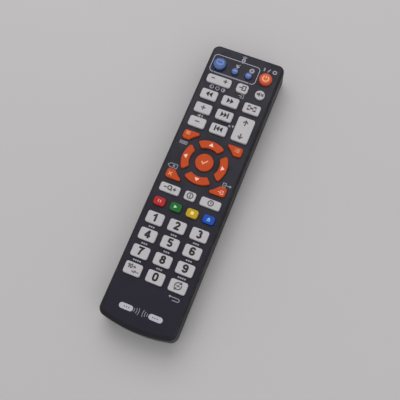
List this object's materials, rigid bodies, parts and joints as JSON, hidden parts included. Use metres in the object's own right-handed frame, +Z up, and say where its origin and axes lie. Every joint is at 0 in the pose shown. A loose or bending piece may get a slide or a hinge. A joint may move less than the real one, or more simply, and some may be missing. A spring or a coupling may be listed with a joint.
{
  "type": "universal remote control",
  "caption": "Slim infrared remote control: dark case with a bowed tail, rubber keys that press, rocker keys, and a hinged cover over the battery bay.",
  "frame": {"origin": "middle of the footprint, on the flat back that rests on the table", "axes": "+Y along the length towards the infrared window, +Z up through the keys, +X to the right when the keys are read"},
  "size_m": [0.051, 0.1976, 0.0217],
  "materials": {
    "case_black": "fine satin texture",
    "window_dark": "polished, dark red when light shines through",
    "sheet_grey": "matt",
    "board_brown": "bare paper board",
    "lens_clear": "clear, polished",
    "lens_smoked": "smoked, polished",
    "lens_red": "tinted, polished",
    "chip_black": "matt moulding",
    "can_steel": "drawn metal",
    "capacitor_sleeve": "shrunk sleeve",
    "contact_nickel": "bright nickel plate",
    "cell_jacket": "printed jacket, bare ends",
    "screw_zinc": "zinc plate",
    "silicone_white": "matt silicone",
    "silicone_orange": "matt silicone",
    "silicone_orange_clear": "translucent silicone",
    "silicone_blue": "translucent silicone",
    "silicone_red": "matt silicone",
    "silicone_green": "matt silicone",
    "silicone_yellow": "matt silicone",
    "silicone_deep_blue": "matt silicone"
  },
  "bodies": {
    "remote_case": {"battery_cells": "cell_jacket", "bottom_case": "case_black", "capacitor": "capacitor_sleeve", "case_screws": "screw_zinc", "circuit_board": "board_brown", "contact_bridge": "contact_nickel", "contact_negative": "contact_nickel", "contact_positive": "contact_nickel", "controller_chip": "chip_black", "crystal": "can_steel", "ir_led": "lens_clear", "ir_window": "window_dark", "keypad_sheet": "sheet_grey", "learning_sensor": "lens_smoked", "signal_lamp": "lens_red", "top_case": "case_black"},
    "battery_cover_body": {"battery_cover": "case_black"},
    "key_0_body": {"key_0": "silicone_white"},
    "key_1_body": {"key_1": "silicone_white"},
    "key_2_body": {"key_2": "silicone_white"},
    "key_3_body": {"key_3": "silicone_white"},
    "key_4_body": {"key_4": "silicone_white"},
    "key_5_body": {"key_5": "silicone_white"},
    "key_6_body": {"key_6": "silicone_white"},
    "key_7_body": {"key_7": "silicone_white"},
    "key_8_body": {"key_8": "silicone_white"},
    "key_9_body": {"key_9": "silicone_white"},
    "key_blue_body": {"key_blue": "silicone_deep_blue"},
    "key_cancel_body": {"key_cancel": "silicone_orange"},
    "key_channel_body": {"key_channel": "silicone_white"},
    "key_disc_body": {"key_disc": "silicone_blue"},
    "key_down_body": {"key_down": "silicone_orange"},
    "key_exit_body": {"key_exit": "silicone_orange"},
    "key_forward_body": {"key_forward": "silicone_white"},
    "key_green_body": {"key_green": "silicone_green"},
    "key_info_body": {"key_info": "silicone_white"},
    "key_input_body": {"key_input": "silicone_white"},
    "key_left_body": {"key_left": "silicone_orange"},
    "key_list_body": {"key_list": "silicone_orange"},
    "key_menu_body": {"key_menu": "silicone_orange"},
    "key_mute_body": {"key_mute": "silicone_white"},
    "key_next_body": {"key_next": "silicone_white"},
    "key_ok_body": {"key_ok": "silicone_orange"},
    "key_picture_body": {"key_picture": "silicone_white"},
    "key_power_body": {"key_power": "silicone_orange_clear"},
    "key_previous_body": {"key_previous": "silicone_white"},
    "key_recall_body": {"key_recall": "silicone_white"},
    "key_red_body": {"key_red": "silicone_red"},
    "key_rewind_body": {"key_rewind": "silicone_white"},
    "key_right_body": {"key_right": "silicone_orange"},
    "key_satellite_body": {"key_satellite": "silicone_blue"},
    "key_standard_body": {"key_standard": "silicone_white"},
    "key_television_body": {"key_television": "silicone_blue"},
    "key_ten_plus_body": {"key_ten_plus": "silicone_white"},
    "key_timer_body": {"key_timer": "silicone_white"},
    "key_up_body": {"key_up": "silicone_orange"},
    "key_volume_down_body": {"key_volume_down": "silicone_white"},
    "key_volume_up_body": {"key_volume_up": "silicone_white"},
    "key_yellow_body": {"key_yellow": "silicone_yellow"},
    "key_zoom_body": {"key_zoom": "silicone_white"}
  },
  "joints": [
    {"name": "battery_cover_open", "type": "hinge", "parent": "remote_case", "child": "battery_cover_body", "pos_m": [0, -0.0898, 0], "axis": [-1, 0, 0], "range_deg": [0, 70]},
    {"name": "key_channel_rock", "type": "hinge", "parent": "remote_case", "child": "key_channel_body", "pos_m": [0.015, 0.0456, 0.0162], "axis": [1, 0, 0], "range_deg": [-3, 3], "stiffness_Nm_per_rad": 0.12},
    {"name": "key_picture_rock", "type": "hinge", "parent": "remote_case", "child": "key_picture_body", "pos_m": [-0.0125, 0.0731, 0.0162], "axis": [0, 1, 0], "range_deg": [-3, 3], "stiffness_Nm_per_rad": 0.12},
    {"name": "key_power_press", "type": "slide", "parent": "remote_case", "child": "key_power_body", "axis": [0, 0, -1], "range_m": [0, 0.0008], "stiffness_N_per_m": 500, "springref_m": -0.0008},
    {"name": "key_television_press", "type": "slide", "parent": "remote_case", "child": "key_television_body", "axis": [0, 0, -1], "range_m": [0, 0.0008], "stiffness_N_per_m": 500, "springref_m": -0.0008},
    {"name": "key_ok_press", "type": "slide", "parent": "remote_case", "child": "key_ok_body", "axis": [0, 0, -1], "range_m": [0, 0.0008], "stiffness_N_per_m": 500, "springref_m": -0.0008},
    {"name": "key_up_press", "type": "slide", "parent": "remote_case", "child": "key_up_body", "axis": [0, 0, -1], "range_m": [0, 0.0008], "stiffness_N_per_m": 500, "springref_m": -0.0008},
    {"name": "key_left_press", "type": "slide", "parent": "remote_case", "child": "key_left_body", "axis": [0, 0, -1], "range_m": [0, 0.0008], "stiffness_N_per_m": 500, "springref_m": -0.0008},
    {"name": "key_down_press", "type": "slide", "parent": "remote_case", "child": "key_down_body", "axis": [0, 0, -1], "range_m": [0, 0.0008], "stiffness_N_per_m": 500, "springref_m": -0.0008},
    {"name": "key_right_press", "type": "slide", "parent": "remote_case", "child": "key_right_body", "axis": [0, 0, -1], "range_m": [0, 0.0008], "stiffness_N_per_m": 500, "springref_m": -0.0008},
    {"name": "key_menu_press", "type": "slide", "parent": "remote_case", "child": "key_menu_body", "axis": [0, 0, -1], "range_m": [0, 0.0008], "stiffness_N_per_m": 500, "springref_m": -0.0008},
    {"name": "key_list_press", "type": "slide", "parent": "remote_case", "child": "key_list_body", "axis": [0, 0, -1], "range_m": [0, 0.0008], "stiffness_N_per_m": 500, "springref_m": -0.0008},
    {"name": "key_cancel_press", "type": "slide", "parent": "remote_case", "child": "key_cancel_body", "axis": [0, 0, -1], "range_m": [0, 0.0008], "stiffness_N_per_m": 500, "springref_m": -0.0008},
    {"name": "key_exit_press", "type": "slide", "parent": "remote_case", "child": "key_exit_body", "axis": [0, 0, -1], "range_m": [0, 0.0008], "stiffness_N_per_m": 500, "springref_m": -0.0008},
    {"name": "key_red_press", "type": "slide", "parent": "remote_case", "child": "key_red_body", "axis": [0, 0, -1], "range_m": [0, 0.0008], "stiffness_N_per_m": 500, "springref_m": -0.0008},
    {"name": "key_green_press", "type": "slide", "parent": "remote_case", "child": "key_green_body", "axis": [0, 0, -1], "range_m": [0, 0.0008], "stiffness_N_per_m": 500, "springref_m": -0.0008},
    {"name": "key_yellow_press", "type": "slide", "parent": "remote_case", "child": "key_yellow_body", "axis": [0, 0, -1], "range_m": [0, 0.0008], "stiffness_N_per_m": 500, "springref_m": -0.0008},
    {"name": "key_blue_press", "type": "slide", "parent": "remote_case", "child": "key_blue_body", "axis": [0, 0, -1], "range_m": [0, 0.0008], "stiffness_N_per_m": 500, "springref_m": -0.0008},
    {"name": "key_0_press", "type": "slide", "parent": "remote_case", "child": "key_0_body", "axis": [0, 0, -1], "range_m": [0, 0.0008], "stiffness_N_per_m": 500, "springref_m": -0.0008},
    {"name": "key_1_press", "type": "slide", "parent": "remote_case", "child": "key_1_body", "axis": [0, 0, -1], "range_m": [0, 0.0008], "stiffness_N_per_m": 500, "springref_m": -0.0008},
    {"name": "key_2_press", "type": "slide", "parent": "remote_case", "child": "key_2_body", "axis": [0, 0, -1], "range_m": [0, 0.0008], "stiffness_N_per_m": 500, "springref_m": -0.0008},
    {"name": "key_3_press", "type": "slide", "parent": "remote_case", "child": "key_3_body", "axis": [0, 0, -1], "range_m": [0, 0.0008], "stiffness_N_per_m": 500, "springref_m": -0.0008},
    {"name": "key_4_press", "type": "slide", "parent": "remote_case", "child": "key_4_body", "axis": [0, 0, -1], "range_m": [0, 0.0008], "stiffness_N_per_m": 500, "springref_m": -0.0008},
    {"name": "key_5_press", "type": "slide", "parent": "remote_case", "child": "key_5_body", "axis": [0, 0, -1], "range_m": [0, 0.0008], "stiffness_N_per_m": 500, "springref_m": -0.0008},
    {"name": "key_6_press", "type": "slide", "parent": "remote_case", "child": "key_6_body", "axis": [0, 0, -1], "range_m": [0, 0.0008], "stiffness_N_per_m": 500, "springref_m": -0.0008},
    {"name": "key_7_press", "type": "slide", "parent": "remote_case", "child": "key_7_body", "axis": [0, 0, -1], "range_m": [0, 0.0008], "stiffness_N_per_m": 500, "springref_m": -0.0008},
    {"name": "key_8_press", "type": "slide", "parent": "remote_case", "child": "key_8_body", "axis": [0, 0, -1], "range_m": [0, 0.0008], "stiffness_N_per_m": 500, "springref_m": -0.0008},
    {"name": "key_9_press", "type": "slide", "parent": "remote_case", "child": "key_9_body", "axis": [0, 0, -1], "range_m": [0, 0.0008], "stiffness_N_per_m": 500, "springref_m": -0.0008},
    {"name": "key_disc_press", "type": "slide", "parent": "remote_case", "child": "key_disc_body", "axis": [0, 0, -1], "range_m": [0, 0.0008], "stiffness_N_per_m": 500, "springref_m": -0.0008},
    {"name": "key_forward_press", "type": "slide", "parent": "remote_case", "child": "key_forward_body", "axis": [0, 0, -1], "range_m": [0, 0.0008], "stiffness_N_per_m": 500, "springref_m": -0.0008},
    {"name": "key_info_press", "type": "slide", "parent": "remote_case", "child": "key_info_body", "axis": [0, 0, -1], "range_m": [0, 0.0008], "stiffness_N_per_m": 500, "springref_m": -0.0008},
    {"name": "key_input_press", "type": "slide", "parent": "remote_case", "child": "key_input_body", "axis": [0, 0, -1], "range_m": [0, 0.0008], "stiffness_N_per_m": 500, "springref_m": -0.0008},
    {"name": "key_mute_press", "type": "slide", "parent": "remote_case", "child": "key_mute_body", "axis": [0, 0, -1], "range_m": [0, 0.0008], "stiffness_N_per_m": 500, "springref_m": -0.0008},
    {"name": "key_next_press", "type": "slide", "parent": "remote_case", "child": "key_next_body", "axis": [0, 0, -1], "range_m": [0, 0.0008], "stiffness_N_per_m": 500, "springref_m": -0.0008},
    {"name": "key_previous_press", "type": "slide", "parent": "remote_case", "child": "key_previous_body", "axis": [0, 0, -1], "range_m": [0, 0.0008], "stiffness_N_per_m": 500, "springref_m": -0.0008},
    {"name": "key_recall_press", "type": "slide", "parent": "remote_case", "child": "key_recall_body", "axis": [0, 0, -1], "range_m": [0, 0.0008], "stiffness_N_per_m": 500, "springref_m": -0.0008},
    {"name": "key_rewind_press", "type": "slide", "parent": "remote_case", "child": "key_rewind_body", "axis": [0, 0, -1], "range_m": [0, 0.0008], "stiffness_N_per_m": 500, "springref_m": -0.0008},
    {"name": "key_satellite_press", "type": "slide", "parent": "remote_case", "child": "key_satellite_body", "axis": [0, 0, -1], "range_m": [0, 0.0008], "stiffness_N_per_m": 500, "springref_m": -0.0008},
    {"name": "key_standard_press", "type": "slide", "parent": "remote_case", "child": "key_standard_body", "axis": [0, 0, -1], "range_m": [0, 0.0008], "stiffness_N_per_m": 500, "springref_m": -0.0008},
    {"name": "key_ten_plus_press", "type": "slide", "parent": "remote_case", "child": "key_ten_plus_body", "axis": [0, 0, -1], "range_m": [0, 0.0008], "stiffness_N_per_m": 500, "springref_m": -0.0008},
    {"name": "key_timer_press", "type": "slide", "parent": "remote_case", "child": "key_timer_body", "axis": [0, 0, -1], "range_m": [0, 0.0008], "stiffness_N_per_m": 500, "springref_m": -0.0008},
    {"name": "key_volume_down_press", "type": "slide", "parent": "remote_case", "child": "key_volume_down_body", "axis": [0, 0, -1], "range_m": [0, 0.0008], "stiffness_N_per_m": 500, "springref_m": -0.0008},
    {"name": "key_volume_up_press", "type": "slide", "parent": "remote_case", "child": "key_volume_up_body", "axis": [0, 0, -1], "range_m": [0, 0.0008], "stiffness_N_per_m": 500, "springref_m": -0.0008},
    {"name": "key_zoom_press", "type": "slide", "parent": "remote_case", "child": "key_zoom_body", "axis": [0, 0, -1], "range_m": [0, 0.0008], "stiffness_N_per_m": 500, "springref_m": -0.0008}
  ]
}
